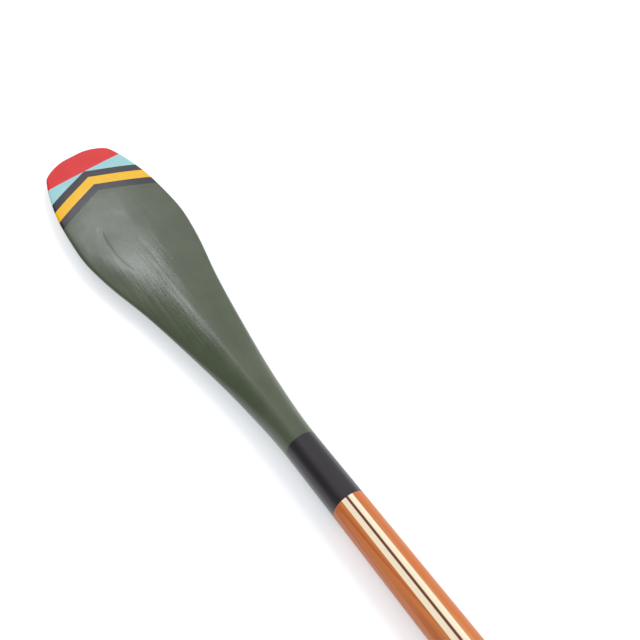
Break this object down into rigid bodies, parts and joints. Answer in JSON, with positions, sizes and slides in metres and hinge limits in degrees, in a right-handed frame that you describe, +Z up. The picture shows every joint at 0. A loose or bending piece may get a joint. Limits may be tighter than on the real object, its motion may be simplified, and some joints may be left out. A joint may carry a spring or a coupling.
{
  "type": "canoe paddle",
  "caption": "Laminated wooden canoe paddle: ridged blade in a painted chevron sheath, banded throat, striped shaft and a walnut-cheeked palm grip.",
  "frame": {"origin": "on the floor under the middle of the bounding box, with the paddle lying on its back face", "axes": "+X along the shaft from the blade tip towards the grip, +Y across the blade to its left, +Z up out of the blade's front face"},
  "size_m": [1.42, 0.132, 0.0385],
  "materials": {
    "walnut": "varnished",
    "basswood": "varnished",
    "red_cedar": "varnished",
    "red_paint": "satin paint on glass and epoxy",
    "teal_paint": "satin paint on glass and epoxy",
    "dark_paint": "satin paint on glass and epoxy",
    "yellow_paint": "satin paint on glass and epoxy",
    "green_paint": "satin paint on glass and epoxy",
    "black_paint": "satin paint on glass and epoxy"
  },
  "bodies": {
    "root": {"centre_strip": "walnut", "cream_strip_left": "basswood", "cream_strip_right": "basswood", "shaft_rail_left": "red_cedar", "shaft_rail_right": "red_cedar", "blade_plank_inner_left": "red_cedar", "blade_plank_middle_left": "basswood", "blade_plank_outer_left": "red_cedar", "blade_plank_inner_right": "red_cedar", "blade_plank_middle_right": "basswood", "blade_plank_outer_right": "red_cedar", "grip_layer_left": "basswood", "grip_cheek_left": "walnut", "grip_layer_right": "basswood", "grip_cheek_right": "walnut", "paint_red_tip": "red_paint", "paint_teal_left": "teal_paint", "paint_teal_right": "teal_paint", "paint_dark_chevron_outer": "dark_paint", "paint_yellow_chevron": "yellow_paint", "paint_dark_chevron_inner": "dark_paint", "paint_green_field": "green_paint", "paint_black_band": "black_paint"}
  },
  "joints": []
}
